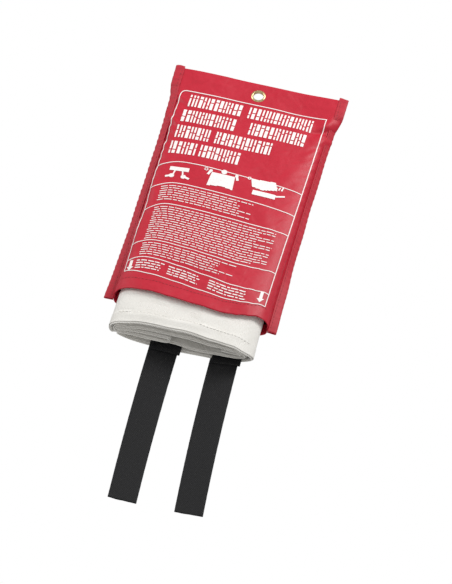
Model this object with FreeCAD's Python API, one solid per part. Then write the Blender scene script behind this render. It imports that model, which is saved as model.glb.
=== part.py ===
import FreeCAD, Part
import math
import os

# A fire blanket in its hanging pouch.
#
# Frame: +X is to the right seen from the front, +Y points to the wall and +Z is up.
# The origin is the centre of the hanging eyelet, on the plane where the pouch's two halves meet.
# All sizes are in millimetres. The blanket is drawn a little way out of the pouch's open mouth.

# ---- Pouch: two halves of one coated cloth, closed at both sides and open at the bottom ----
pouch_width = 180.0            # over both edge bindings
pouch_height = 300.0           # from the top edge to the mouth
top_above_eyelet = 15.0
cloth = 0.8                    # thickness of the coated cloth
header_height = 31.0           # flat strip above the pocket
pocket_front_depth = 27.6      # inside depth in front of the seam plane, at the mouth
front_swell_power = 0.65       # the front swells as this power of the height below the header
pocket_back_depth = 15.8       # inside depth behind the seam plane
back_shoulder_height = 59.0    # the back reaches its full depth over this height, then hangs flat
pocket_first_depth = 0.6       # inside depth just under the header
pocket_corner_radius = 14.0
seam_strip = 1.1               # flat cloth between the pocket's wall and the binding
mouth_hem_height = 15.0        # cloth turned in at the mouth

# ---- Binding tape round each side edge ----
binding_width = 9.5
binding_tape = 0.6
binding_corner_radius = 0.9
binding_above_top = 2.5
binding_below_mouth = 2.0

# ---- Stitches ----
stitch_thread = 0.5            # width of the thread
stitch_proud = 0.3             # how far a stitch stands out of its cloth
stitch_length = 2.8
stitch_pitch = 4.0
binding_stitch_inset = 2.4     # from the tape's free edge
hem_stitch_inset = 1.8         # from the turned-in edge

# ---- Eyelet ----
eyelet_hole_radius = 5.3
eyelet_wall = 0.5
eyelet_flange_radius = 7.5
eyelet_flange_thick = 1.0
eyelet_flange_round = 0.4
eyelet_washer_thick = 0.6
eyelet_lip_width = 1.4
eyelet_lip_thick = 0.5

# ---- Folded blanket ----
pack_gap = 0.8                 # between the pack and the turned-in hem
pack_out = 40.0                # length of pack that hangs below the mouth at rest
pack_out_stowed = 4.0          # the same when it is pushed fully home
pack_top_room = 23.0           # pocket height left above a stowed pack
pack_hem_height = 12.5         # from the pack's lower end to its hem stitches

# ---- Pull straps ----
strap_width = 30.0
strap_thick = 1.8
strap_length = 197.0           # hanging length, below its bending line
strap_sewn_length = 60.0       # length held inside the pack
strap_exit = 4.0               # bending line below the pack's lower end
strap_slot_gap = 0.4           # pack to webbing, filled by the stitches
strap_bend_gap = 0.25          # between the sewn end and the hanging length
left_strap_inset = 60.0        # strap centre from the pack's left end
right_strap_inset = 31.0       # strap centre from the pack's right end
left_strap_from_back = 5.8     # strap centre from the pack's back face
right_strap_from_back = 6.0
left_strap_lean = 5.5          # sideways shift of the strap's lower end
right_strap_lean = 12.0
strap_bow = 1.2                # sideways sag of the strap's middle
box_stitch_margin = 3.5        # from the webbing's edges
box_stitch_height = 42.0

# ---- Worked out from the sizes above ----
top_z = top_above_eyelet
mouth_z = top_z - pouch_height
pocket_top_z = top_z - header_height
hem_top_z = mouth_z + mouth_hem_height
panel_half_width = pouch_width / 2 - binding_tape
pocket_half_width = pouch_width / 2 - binding_width - seam_strip - cloth

slide_up = pack_out - pack_out_stowed
pocket_height = pouch_height - header_height
pack_height = pocket_height - pack_top_room + pack_out_stowed
pack_bottom_z = mouth_z - pack_out
pack_top_z = pack_bottom_z + pack_height
pack_inset = cloth + pack_gap
pack_half_width = pocket_half_width - pack_inset
pack_back_y = pocket_back_depth - pack_inset

bend_z = pack_bottom_z - strap_exit
left_strap_x = left_strap_inset - pack_half_width
right_strap_x = pack_half_width - right_strap_inset
left_strap_y = pack_back_y - left_strap_from_back
right_strap_y = pack_back_y - right_strap_from_back

OUTLINE_STEPS = 9
OUTLINE_CROWDING = 1.7         # above 1, the outlines crowd towards the header
FRONT = -1
BACK = 1


def box(x0, x1, y0, y1, z0, z1):
    """A block between two opposite corners."""
    return Part.makeBox(x1 - x0, y1 - y0, z1 - z0, FreeCAD.Vector(x0, y0, z0))


def join(shapes):
    """One shape from several that meet or cross."""
    joined = shapes[0].multiFuse(shapes[1:])
    return joined.removeSplitter()


def pocket_depth(z, side):
    """Inside depth of one half of the pocket at height z."""
    below = max(pocket_top_z - z, 0.0)
    if side == FRONT:
        swell = min(below / pocket_height, 1.0) ** front_swell_power
        return pocket_first_depth + (pocket_front_depth - pocket_first_depth) * swell
    share = min(below / back_shoulder_height, 1.0)
    return pocket_first_depth + (pocket_back_depth - pocket_first_depth) * math.sin(share * math.pi / 2)


def outline_heights():
    """Heights at which the pocket's outline is drawn, from the header down to the mouth."""
    shares = [(step / OUTLINE_STEPS) ** OUTLINE_CROWDING for step in range(OUTLINE_STEPS + 1)]
    heights = [pocket_top_z - pocket_height * share for share in shares]
    heights += [pocket_top_z - back_shoulder_height, hem_top_z]
    return sorted(heights, reverse=True)


def face_depth(z, side):
    """Inside depth at height z on the straight runs between the outlines."""
    heights = outline_heights()
    for upper, lower in zip(heights, heights[1:]):
        if lower <= z <= upper:
            share = (upper - z) / (upper - lower)
            return pocket_depth(upper, side) * (1 - share) + pocket_depth(lower, side) * share
    return pocket_depth(z, side)


def half_section(z, half_width, depth, radius, side):
    """Closed outline of one half of the pocket: a flat face, two round corners and two walls."""
    radius = min(radius, 0.6 * depth)
    wall_end = side * (depth - radius)
    face = side * depth
    inner = half_width - radius
    cut = radius * math.sqrt(0.5)
    left_wall = [FreeCAD.Vector(-half_width, 0, z), FreeCAD.Vector(-half_width, wall_end, z)]
    left_face = FreeCAD.Vector(-inner, face, z)
    right_face = FreeCAD.Vector(inner, face, z)
    right_wall = [FreeCAD.Vector(half_width, wall_end, z), FreeCAD.Vector(half_width, 0, z)]
    left_mid = FreeCAD.Vector(-inner - cut, wall_end + side * cut, z)
    right_mid = FreeCAD.Vector(inner + cut, wall_end + side * cut, z)
    edges = [
        Part.LineSegment(left_wall[0], left_wall[1]).toShape(),
        Part.Arc(left_wall[1], left_mid, left_face).toShape(),
        Part.LineSegment(left_face, right_face).toShape(),
        Part.Arc(right_face, right_mid, right_wall[0]).toShape(),
        Part.LineSegment(right_wall[0], right_wall[1]).toShape(),
        Part.LineSegment(right_wall[1], left_wall[0]).toShape(),
    ]
    return Part.Wire(edges)


def half_pocket(side, grow, heights, lift=0.0):
    """Solid half of the pocket, grown outwards, through the given heights and then raised by lift."""
    wires = []
    for z in heights:
        depth = pocket_depth(z, side) + grow
        radius = pocket_corner_radius + grow
        wires.append(half_section(z + lift, pocket_half_width + grow, depth, radius, side))
    return Part.makeLoft(wires, True, True)


def eyelet_axis_cylinder(radius, y0, y1):
    """A cylinder along the eyelet's axis."""
    return Part.makeCylinder(radius, y1 - y0, FreeCAD.Vector(0, y0, 0), FreeCAD.Vector(0, 1, 0))


def panel(side):
    """One half of the pouch cloth: flat header and side flanges, a swollen pocket and a turned-in hem."""
    plate_y = sorted([0.0, side * cloth])
    plate = box(-panel_half_width, panel_half_width, plate_y[0], plate_y[1], mouth_z, top_z)
    outer = half_pocket(side, cloth, outline_heights())
    inner = half_pocket(side, 0.0, outline_heights() + [mouth_z - cloth])
    hem_outer = half_pocket(side, 0.0, [hem_top_z, mouth_z])
    hem_inner = half_pocket(side, -cloth, [hem_top_z + cloth, hem_top_z, mouth_z, mouth_z - cloth])
    shell = plate.fuse(outer).cut(inner)
    hem = hem_outer.cut(hem_inner)
    hole = eyelet_axis_cylinder(eyelet_hole_radius + eyelet_wall, -2 * cloth, 2 * cloth)
    return join([shell, hem]).cut(hole).cut(mouth_stitching(side))


def edge_binding(side):
    """Tape folded round one side edge, from above the top edge to below the mouth."""
    outside = pouch_width / 2
    free_edge = outside - binding_width
    half_thick = cloth + binding_tape
    z0 = mouth_z - binding_below_mouth
    z1 = top_z + binding_above_top
    tape = box(free_edge, outside, -half_thick, half_thick, z0, z1)
    corners = [e for e in tape.Edges if is_upright_at(e, outside)]
    tape = tape.makeFillet(binding_corner_radius, corners)
    core = box(free_edge, panel_half_width, -cloth, cloth, z0, z1)
    tape = tape.cut(core)
    if side < 0:
        tape = tape.mirror(FreeCAD.Vector(0, 0, 0), FreeCAD.Vector(1, 0, 0))
    return tape


def is_upright_at(edge, x):
    """True for a vertical edge at the given x."""
    height = edge.BoundBox.ZMax - edge.BoundBox.ZMin
    return height > 1.0 and abs(edge.BoundBox.XMin - x) < 1e-6 and abs(edge.BoundBox.XMax - x) < 1e-6


def stitch_places(low, high):
    """Centres of evenly pitched stitches between two limits."""
    count = int((high - low) // stitch_pitch)
    first = (low + high - (count - 1) * stitch_pitch) / 2
    return [first + i * stitch_pitch for i in range(count)]


def upright_stitch(x, z, face_y, side):
    """A stitch along Z, standing out of a face towards the given side."""
    y0, y1 = sorted([face_y, face_y + side * stitch_proud])
    half_thread = stitch_thread / 2
    half_length = stitch_length / 2
    return box(x - half_thread, x + half_thread, y0, y1, z - half_length, z + half_length)


def level_stitch(x, z, face_y, side, proud=stitch_proud):
    """A stitch along X, standing out of a face towards the given side."""
    y0, y1 = sorted([face_y, face_y + side * proud])
    half_thread = stitch_thread / 2
    half_length = stitch_length / 2
    return box(x - half_length, x + half_length, y0, y1, z - half_thread, z + half_thread)


def binding_stitching(side):
    """Two rows of stitches, on the front and the back of one binding."""
    x = side * (pouch_width / 2 - binding_width + binding_stitch_inset)
    face = cloth + binding_tape
    stitches = []
    for z in stitch_places(mouth_z, top_z):
        stitches.append(upright_stitch(x, z, -face, FRONT))
        stitches.append(upright_stitch(x, z, face, BACK))
    return Part.makeCompound(stitches)


def mouth_stitching(side):
    """One row of stitches that holds the turned-in hem of one half, pulled flush with the cloth."""
    z = hem_top_z - hem_stitch_inset
    face = side * (face_depth(z, side) + cloth)
    reach = pocket_half_width - pocket_corner_radius
    return Part.makeCompound([level_stitch(x, z, face, -side) for x in stitch_places(-reach, reach)])


def eyelet_barrel():
    """Brass barrel: front flange, tube through both halves, and the lip clenched over the washer."""
    front = -cloth
    washer_back = cloth + eyelet_washer_thick
    flange = eyelet_axis_cylinder(eyelet_flange_radius, front - eyelet_flange_thick, front)
    rim = [e for e in flange.Edges if abs(e.BoundBox.YMax - (front - eyelet_flange_thick)) < 1e-6]
    flange = flange.makeFillet(eyelet_flange_round, rim)
    tube = eyelet_axis_cylinder(eyelet_hole_radius + eyelet_wall, front, washer_back)
    lip_radius = eyelet_hole_radius + eyelet_lip_width
    lip = eyelet_axis_cylinder(lip_radius, washer_back, washer_back + eyelet_lip_thick)
    hole = eyelet_axis_cylinder(eyelet_hole_radius, -pouch_width, pouch_width)
    return join([flange, tube, lip]).cut(hole)


def eyelet_washer():
    """Brass ring that the barrel's lip clenches against the back half."""
    ring = eyelet_axis_cylinder(eyelet_flange_radius, cloth, cloth + eyelet_washer_thick)
    hole = eyelet_axis_cylinder(eyelet_hole_radius + eyelet_wall, 0, pouch_width)
    return ring.cut(hole)


def pack_heights():
    """Heights of the pack's outlines when it is pushed home, so that it follows the pocket's shoulder."""
    stowed_top = pack_top_z + slide_up
    lower = [z for z in outline_heights() if z < stowed_top - 1.0]
    return [stowed_top] + lower + [pack_bottom_z + slide_up]


def folded_blanket():
    """The folded blanket as one soft block, with a slot round each strap's sewn end."""
    halves = [half_pocket(side, -pack_inset, pack_heights(), -slide_up) for side in (FRONT, BACK)]
    pack = join(halves)
    for x, y in ((left_strap_x, left_strap_y), (right_strap_x, right_strap_y)):
        pack = pack.cut(strap_slot(x, y))
    return pack.cut(blanket_hem_stitching())


def strap_slot(x, y):
    """Room in the pack for one strap's sewn end."""
    half_width = strap_width / 2 + strap_slot_gap
    half_thick = strap_thick / 2 + strap_slot_gap
    top = pack_bottom_z + strap_sewn_length + strap_slot_gap
    return box(x - half_width, x + half_width, y - half_thick, y + half_thick, pack_bottom_z - 1, top)


def blanket_hem_stitching():
    """The stitches of the blanket's hem where it shows on the front of the pack, flush with it."""
    z = pack_bottom_z + pack_hem_height
    face = -(face_depth(z + slide_up, FRONT) - pack_inset)
    reach = pack_half_width - pocket_corner_radius
    places = stitch_places(-reach, reach)
    return Part.makeCompound([level_stitch(x, z, face, BACK) for x in places])


def strap_sewn_end(x, y):
    """The part of one webbing that is sewn into the pack, down to its bending line."""
    half_width = strap_width / 2
    half_thick = strap_thick / 2
    bottom = bend_z + half_thick + strap_bend_gap
    top = pack_bottom_z + strap_sewn_length
    return box(x - half_width, x + half_width, y - half_thick, y + half_thick, bottom, top)


def strap_box_stitching(x, y):
    """A rectangle of stitches that fills the gap between the webbing and the pack in front of it."""
    face = y - strap_thick / 2
    low = pack_bottom_z + box_stitch_margin
    high = low + box_stitch_height
    reach = strap_width / 2 - box_stitch_margin
    stitches = []
    for dx in stitch_places(-reach, reach):
        stitches.append(level_stitch(x + dx, low, face, FRONT, strap_slot_gap))
        stitches.append(level_stitch(x + dx, high, face, FRONT, strap_slot_gap))
    for z in stitch_places(low, high):
        stitches.append(upright_stitch(x - reach, z, face, FRONT))
        stitches.append(upright_stitch(x + reach, z, face, FRONT))
    return Part.makeCompound(stitches)


def hanging_strap(x, y, lean):
    """The free webbing: round at its bending line, then a long gentle bow to a square cut end."""
    half_width = strap_width / 2
    half_thick = strap_thick / 2
    bottom = bend_z - strap_length
    middle = (bend_z + bottom) / 2

    def edge_arc(offset):
        top = FreeCAD.Vector(x + offset, y - half_thick, bend_z)
        mid = FreeCAD.Vector(x + offset + lean / 2 - strap_bow, y - half_thick, middle)
        end = FreeCAD.Vector(x + offset + lean, y - half_thick, bottom)
        return Part.Arc(top, mid, end).toShape()

    left = edge_arc(-half_width)
    right = edge_arc(half_width)
    upper = Part.LineSegment(left.Vertexes[0].Point, right.Vertexes[0].Point).toShape()
    lower = Part.LineSegment(left.Vertexes[-1].Point, right.Vertexes[-1].Point).toShape()
    outline = Part.Wire([upper, right, lower, left])
    ribbon = Part.Face(outline).extrude(FreeCAD.Vector(0, strap_thick, 0))
    start = FreeCAD.Vector(x - half_width, y, bend_z)
    round_top = Part.makeCylinder(half_thick, strap_width, start, FreeCAD.Vector(1, 0, 0))
    return join([ribbon, round_top])


def nodes():
    """Every named piece of the object."""
    pieces = {
        "front_panel": panel(FRONT),
        "back_panel": panel(BACK),
        "left_edge_binding": edge_binding(-1),
        "right_edge_binding": edge_binding(1),
        "left_binding_stitching": binding_stitching(-1),
        "right_binding_stitching": binding_stitching(1),
        "front_mouth_stitching": mouth_stitching(FRONT),
        "back_mouth_stitching": mouth_stitching(BACK),
        "eyelet_barrel": eyelet_barrel(),
        "eyelet_washer": eyelet_washer(),
        "folded_blanket": folded_blanket(),
        "blanket_hem_stitching": blanket_hem_stitching(),
    }
    straps = {
        "left": (left_strap_x, left_strap_y, left_strap_lean),
        "right": (right_strap_x, right_strap_y, right_strap_lean),
    }
    for name, (x, y, lean) in straps.items():
        pieces[name + "_strap_sewn_end"] = strap_sewn_end(x, y)
        pieces[name + "_strap_box_stitching"] = strap_box_stitching(x, y)
        pieces[name + "_strap"] = hanging_strap(x, y, lean)
    return pieces


def main():
    os.makedirs("parts", exist_ok=True)
    for name, shape in nodes().items():
        size = shape.BoundBox
        print(f"{name:26} solids {len(shape.Solids):4} volume {shape.Volume:10.1f} valid {shape.isValid()}"
              f"  x {size.XMin:7.1f}..{size.XMax:6.1f}  y {size.YMin:6.1f}..{size.YMax:5.1f}"
              f"  z {size.ZMin:7.1f}..{size.ZMax:6.1f}")
        shape.exportStep("parts/" + name + ".step")
    print(f"slide up {slide_up:.1f}, bending line z {bend_z:.1f}, pack z {pack_bottom_z:.1f}..{pack_top_z:.1f}")
    print(f"left strap centre {left_strap_x:.2f}, {left_strap_y:.2f}")
    print(f"right strap centre {right_strap_x:.2f}, {right_strap_y:.2f}")


main()
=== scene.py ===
# %% [markdown]
# A fire blanket in its hanging pouch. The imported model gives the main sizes, and this script the looks.
# Nearly all of it is cloth: a coated pouch, a glass-fibre sheet folded into a pack, and two webbing
# straps. Cloth can be simulated, but sewn goods that lie still are easier to steer when each sheet is a
# grid of points worked out from its seams, so that is the way chosen here.

# %% Load the frame
import bpy
import math
import random
import numpy as np
from mathutils import Matrix, Vector, noise


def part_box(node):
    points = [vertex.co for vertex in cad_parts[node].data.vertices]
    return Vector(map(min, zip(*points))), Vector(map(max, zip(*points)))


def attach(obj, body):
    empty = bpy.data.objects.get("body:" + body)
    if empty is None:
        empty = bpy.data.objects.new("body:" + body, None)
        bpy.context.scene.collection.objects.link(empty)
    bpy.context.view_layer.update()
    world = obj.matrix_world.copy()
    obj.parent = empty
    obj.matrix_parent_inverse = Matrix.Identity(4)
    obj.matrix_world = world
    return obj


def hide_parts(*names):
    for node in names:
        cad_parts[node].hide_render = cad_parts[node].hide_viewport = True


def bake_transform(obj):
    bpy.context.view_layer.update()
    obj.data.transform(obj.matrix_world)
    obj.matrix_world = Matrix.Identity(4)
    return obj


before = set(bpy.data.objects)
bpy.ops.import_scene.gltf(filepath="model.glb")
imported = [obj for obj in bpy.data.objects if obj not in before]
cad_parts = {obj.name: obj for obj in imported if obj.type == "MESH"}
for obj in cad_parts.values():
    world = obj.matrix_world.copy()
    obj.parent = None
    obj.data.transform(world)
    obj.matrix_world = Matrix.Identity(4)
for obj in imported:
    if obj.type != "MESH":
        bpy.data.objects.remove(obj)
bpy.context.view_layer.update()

# %% [markdown]
# Sizes are written in millimetres, as a pattern cutter would, and turned into metres when a mesh is made.
# The outer sizes below are read from the imported nodes. The layers of the pack, the creases and the print
# are given one by one, so they would have to be moved if those sizes changed.

# %% Sizes
MM = 0.001


def node_box(name):
    """Lowest and highest corner of a node, in millimetres."""
    low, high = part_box(name)
    return [x / MM for x in low], [x / MM for x in high]


panel_low, panel_high = node_box("front_panel")
back_high = node_box("back_panel")[1]
tape_low, tape_high = node_box("right_edge_binding")
pack_low, pack_high = node_box("folded_blanket")
top_z = panel_high[2]
mouth_z = panel_low[2]
front_depth = -panel_low[1]
back_depth = back_high[1]
tape_width = tape_high[0] - tape_low[0]
pack_bottom = pack_low[2]
pack_top = pack_high[2]
pack_half_width = pack_high[0]
header_z = top_z - 31.0
print("pouch", round(2 * tape_high[0]), "wide and", round(top_z - mouth_z), "high")

# %% [markdown]
# A few small helpers carry the rest. The main ones are a smooth step between two values, a value read from
# a short list of stations, and a mesh made from a grid of points with the cloth's flat measure as its UV map.

# %% Helpers for shapes


def smooth(value, start, end):
    """0 before start, 1 after end, and a smooth step between them."""
    share = np.clip((value - start) / (end - start), 0.0, 1.0)
    return share * share * (3 - 2 * share)


def stations(place, table):
    """The value at a place from (place, value) pairs, highest place first, eased between them."""
    for (p0, v0), (p1, v1) in zip(table, table[1:]):
        if place >= p1:
            share = float(smooth(-place, -p0, -p1))
            return v0 + (v1 - v0) * share
    return table[-1][1]


def rough(x, y, scale, seed):
    """Smooth noise from -1 to 1 whose bumps are about scale millimetres across."""
    return noise.noise(Vector((x / scale, y / scale, seed)))


def object_from_mesh(name, points, faces, uvs=None):
    """A smooth mesh object from points in millimetres and, where given, one UV pair in metres a point."""
    mesh = bpy.data.meshes.new(name)
    mesh.from_pydata([[c * MM for c in p] for p in points], [], faces)
    if uvs is not None:
        layer = mesh.uv_layers.new(name="UVMap")
        corner_points = np.zeros(len(mesh.loops), int)
        mesh.loops.foreach_get("vertex_index", corner_points)
        layer.data.foreach_set("uv", (np.array(uvs)[corner_points] * MM).ravel())
    mesh.polygons.foreach_set("use_smooth", [True] * len(mesh.polygons))
    obj = bpy.data.objects.new(name, mesh)
    bpy.context.scene.collection.objects.link(obj)
    return obj


def grid_faces(rows, columns, flip=False):
    """The quads of a grid of points, row by row."""
    faces = []
    for r in range(rows - 1):
        for c in range(columns - 1):
            a = r * columns + c
            quad = (a, a + 1, a + columns + 1, a + columns)
            faces.append(quad[::-1] if flip else quad)
    return faces


def only(obj):
    """Deselect everything, then select this object and make it active."""
    bpy.ops.object.select_all(action="DESELECT")
    obj.select_set(True)
    bpy.context.view_layer.objects.active = obj


def apply_modifier(obj, kind, **settings):
    """Add one modifier with its settings and apply it."""
    only(obj)
    modifier = obj.modifiers.new(kind.title(), kind)
    for key, value in settings.items():
        setattr(modifier, key, value)
    bpy.ops.object.modifier_apply(modifier=modifier.name)


# %% [markdown]
# The fins are the sewn side edges. In use the full pouch pulls them in and swings them back, more on the
# right than on the left, and they lie flat again at the header. One function gives a fin's foot and its
# direction at every height, and the panels, the tape and the thread all read it, so they stay together.

# %% Where the fins lie
fin_swing = {
    -1: [(20, 0), (2, 2), (-18, 30), (-60, 36), (-200, 30), (-262, 14), (-290, 6)],
    1: [(20, 0), (0, 4), (-20, 52), (-60, 54), (-190, 46), (-262, 20), (-290, 8)],
}
fin_pull_in = [(20, 0), (-4, 0), (-24, 1.6), (-120, 1.8), (-240, 1.0), (-290, 0)]
fin_foot_x = tape_low[0] - 1.1


def fin(side, z):
    """Foot (x, y) of a fin at height z, its outward direction and its front-facing normal."""
    angle = math.radians(stations(z, fin_swing[side]) + 5 * rough(z, 40 * side, 34, 3.1) * (z < 5))
    foot = Vector((side * (fin_foot_x - stations(z, fin_pull_in)), 0.0))
    outward = Vector((side * math.cos(angle), math.sin(angle)))
    front = Vector((side * math.sin(angle), -math.cos(angle)))
    return foot, outward, front


def header_wave(x, z):
    """How far the flat header waves to and fro: nothing at the eyelet, most at the corners."""
    away = float(smooth(math.hypot(x, z), 12.0, 40.0))
    fade = float(smooth(z, -34.0, -8.0))
    wave = 1.5 * rough(x, z, 46, 7.7) + 0.9 * math.sin(x / 21.0 + z / 30.0)
    return away * fade * wave


print("fin foot at x", round(fin_foot_x, 1))

# %% [markdown]
# Each pouch panel is one coated cloth: flat flanges in the side seams, a swollen pocket between them, and
# the mouth edge turned in as a hem. The panel is drawn row by row down the cloth. A row is a rounded
# outline from seam to seam, divided evenly along its length, so the points keep the cloth's flat measure.

# %% The outline of one row
FLANGE_POINTS = 5
POCKET_POINTS = 101
FRONT = -1
BACK = 1
HALF_LAYER = 0.75
seam_reach = tape_width - 0.9


def depth_at(z, side):
    """Depth of the pocket's outer face at height z."""
    below = max(header_z - z, 0.0)
    if side == FRONT:
        return (front_depth - 2.4) * min(below / (header_z - mouth_z), 1.0) ** 0.65
    return back_depth * math.sin(min(below / 59.0, 1.0) * math.pi / 2)


def pocket_outline(z, side, inset=0.0):
    """Evenly spaced points (x, y) along the pocket's outline from the left foot to the right foot."""
    depth = max(depth_at(z, side) - HALF_LAYER, 0.0)
    left = fin(-1, z)[0]
    right = fin(1, z)[0]
    angles = np.linspace(math.pi, 0.0, 400)
    squareness = 2 / (2.2 + 0.9 * float(smooth(depth, 2.0, 20.0)))
    across = np.sign(np.cos(angles)) * np.abs(np.cos(angles)) ** squareness
    swell = np.abs(np.sin(angles)) ** squareness
    bulge_out = 0.9 * float(smooth(depth, 6.0, 22.0)) * np.sin(angles) ** 0.5 * np.abs(across) ** 6
    xs = (left.x + right.x) / 2 + (right.x - left.x) / 2 * across + np.sign(across) * bulge_out
    ys = side * (HALF_LAYER - inset + depth * swell)
    length = np.concatenate([[0.0], np.cumsum(np.hypot(np.diff(xs), np.diff(ys)))])
    even = np.linspace(0.0, length[-1], POCKET_POINTS)
    return np.interp(even, length, xs), np.interp(even, length, ys), length[-1]


def panel_row(z, side, inset=0.0):
    """One row of a panel from the left seam edge to the right one, and its flat positions."""
    xs, ys, length = pocket_outline(z, side, inset)
    points = []
    flat = []
    for fin_side, order in ((-1, range(FLANGE_POINTS)), (1, reversed(range(FLANGE_POINTS)))):
        foot, outward, front = fin(fin_side, z)
        flange = []
        for k in order:
            reach = (seam_reach + 1.1) * (FLANGE_POINTS - k) / FLANGE_POINTS
            place = foot + outward * reach + front * (-side * (HALF_LAYER - inset))
            flange.append(((place.x, place.y), fin_side * (length / 2 + reach)))
        points += [p for p, u in flange]
        flat += [u for p, u in flange]
        if fin_side < 0:
            points += list(zip(xs, ys))
            flat += list(np.linspace(-length / 2, length / 2, POCKET_POINTS))
    return points, flat


print("points in a row", POCKET_POINTS + 2 * FLANGE_POINTS)

# %% [markdown]
# Real cloth is never that even. It carries the folds it was packed with, puckers where the pocket is
# gathered into the side seams, a sharp notch under the right end of the header, and a mouth that stands a
# little off the pack. Each is a small push along the cloth's normal: noise for the slow waves, slanted
# ripples near the seams, and a short list of single creases.

# %% Folds of the front cloth
front_creases = [
    # start (across, height), end (across, height), push, half width
    ((88, -24), (60, -33), -2.6, 3.0),
    ((86, -33), (66, -46), 1.6, 3.4),
    ((90, -14), (70, -20), 2.2, 5.5),
    ((-88, -22), (-66, -36), -1.5, 3.0),
    ((-88, -36), (-70, -60), 1.2, 3.2),
    ((-88, -52), (-73, -84), -1.1, 2.6),
    ((25, 10), (44, -1), 0.45, 1.6),
    ((8, 8), (32, -6), -0.35, 1.8),
    ((-70, 8), (-30, 2), 0.5, 4.0),
    ((70, -60), (52, -110), 0.7, 6.0),
    ((-60, -262), (60, -255), 0.5, 3.5),
    ((10, -225), (48, -243), -0.5, 6.0),
    ((40, -150), (70, -200), 0.6, 6.0),
    ((-78, -120), (-70, -160), 0.8, 3.5),
    ((-78, -190), (-69, -240), 0.8, 3.5),
]
back_creases = [
    ((-70, -20), (-20, -60), 0.7, 5.0),
    ((72, -24), (30, -70), 0.6, 5.0),
    ((-50, -120), (60, -135), 0.5, 4.0),
    ((-60, -210), (50, -200), 0.5, 4.0),
]


def crease_push(x, z, creases):
    """The push of all the single creases at one place."""
    total = 0.0
    for (x0, z0), (x1, z1), push, half_width in creases:
        along = Vector((x1 - x0, z1 - z0))
        share = (Vector((x - x0, z - z0))).dot(along) / along.length_squared
        if -0.25 < share < 1.25:
            off = abs((x - x0) * along.y - (z - z0) * along.x) / along.length
            ends = float(smooth(share, -0.25, 0.2)) * (1 - float(smooth(share, 0.75, 1.25)))
            total += push * ends * math.exp(-((off / half_width) ** 2))
    return total


def seam_ripples(u, half_length, z):
    """Slanted puckers where the pocket is gathered into a side seam."""
    gap = half_length - abs(u)
    if gap < -1.0 or gap > 40.0:
        return 0.0
    start = float(smooth(gap, -1.0, 5.0))
    fade = math.exp(-max(gap, 0.0) / 9.0)
    strength = 0.35 + 0.75 * float(smooth(z, -150.0, -30.0))
    strength *= 1.25 if u < 0 else 0.8
    slant = z + 0.8 * gap
    shape = math.sin(slant / 1.75 + 2.2 * rough(z, u, 26, 1.3))
    return start * fade * strength * (shape + 0.5) * (z < -20)


def mouth_flare(x, z):
    """How far the front mouth stands off the pack: most of all left of the middle."""
    low = 1 - float(smooth(z, mouth_z, mouth_z + 34.0))
    middle = math.exp(-(((x + 22) / 34.0) ** 2))
    right = math.exp(-(((x - 62) / 20.0) ** 2))
    return low * (1.9 * middle + 0.7 * right + 0.4 * math.sin(x / 9.0))


# Pairs of (place across the pouch, height).
mouth_sag = [
    (90, 0.5), (80, 2), (70, 1), (58, -3), (47, -5.7), (32, -7.2),
    (5, -5.4), (-21, -2.7), (-48, 0), (-68, 2), (-90, 0.5),
]


def sag(x, z):
    """How far the front cloth hangs up or down from its pattern: lowest right of the middle."""
    return stations(x, mouth_sag) * float(smooth(-z, 110.0, 285.0))


def front_push(x, u, half_length, z):
    """All of the front cloth's pushes added up, in millimetres outwards."""
    inside = float(smooth(half_length - abs(u), -2.0, 9.0))
    below = float(smooth(-z, 14.0, 50.0))
    slow = 0.9 * rough(x, z, 52, 0.4) + 0.45 * rough(x, z, 21, 5.2) + 0.14 * rough(x, z, 8, 9.9)
    push = inside * (0.25 + 0.75 * below) * (slow + 0.35)
    push += crease_push(x, z, front_creases)
    push += seam_ripples(u, half_length, z)
    push += inside * mouth_flare(x, z)
    return push


def back_push(x, u, half_length, z):
    """The back cloth lies against a wall, so it waves less."""
    inside = float(smooth(half_length - abs(u), -2.0, 9.0))
    below = float(smooth(-z, 14.0, 50.0))
    slow = 0.5 * rough(x, z, 48, 2.4) + 0.25 * rough(x, z, 19, 6.2)
    push = inside * (0.2 + 0.6 * below) * slow
    push += crease_push(x, z, back_creases)
    return push + 0.7 * seam_ripples(u, half_length, z)


# %% [markdown]
# The rows run from the top edge to the mouth, turn round the hem's edge and climb up inside. The pushes
# are applied along normals taken from the grid itself. The finished grid is kept, because the printing
# and the mouth stitches are laid on it later.

# %% Make the panels
ROW_STEP = 2.2
PANEL_STEPS = round((top_z - mouth_z) / ROW_STEP)
CLOTH_THICKNESS = 0.5
PUNCH_RADIUS = 6.1
HEM_HEIGHT = 15.0
HEM_ROUND = [(0.0, -0.5), (0.35, -0.85), (0.8, -1.0), (1.25, -0.85), (1.6, -0.5)]
cloth_grids = {}


def panel_heights():
    """(height, inset) of each row: down the outside, round the hem's edge and up inside."""
    rows = [(top_z - (top_z - mouth_z) * i / PANEL_STEPS, 0.0) for i in range(PANEL_STEPS + 1)]
    rows += [(mouth_z + drop, inset) for inset, drop in HEM_ROUND]
    rows += [(mouth_z + HEM_HEIGHT * k / 5, 1.6) for k in range(1, 6)]
    return rows


def grid_normals(grid, side):
    """Unit normals of a grid of points, on the outer side."""
    down = np.gradient(grid, axis=0)
    along = np.gradient(grid, axis=1)
    normals = np.cross(along, down)
    normals /= np.maximum(np.linalg.norm(normals, axis=2, keepdims=True), 1e-9)
    if np.mean(normals[:, :, 1]) * side < 0:
        normals = -normals
    return normals


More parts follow.
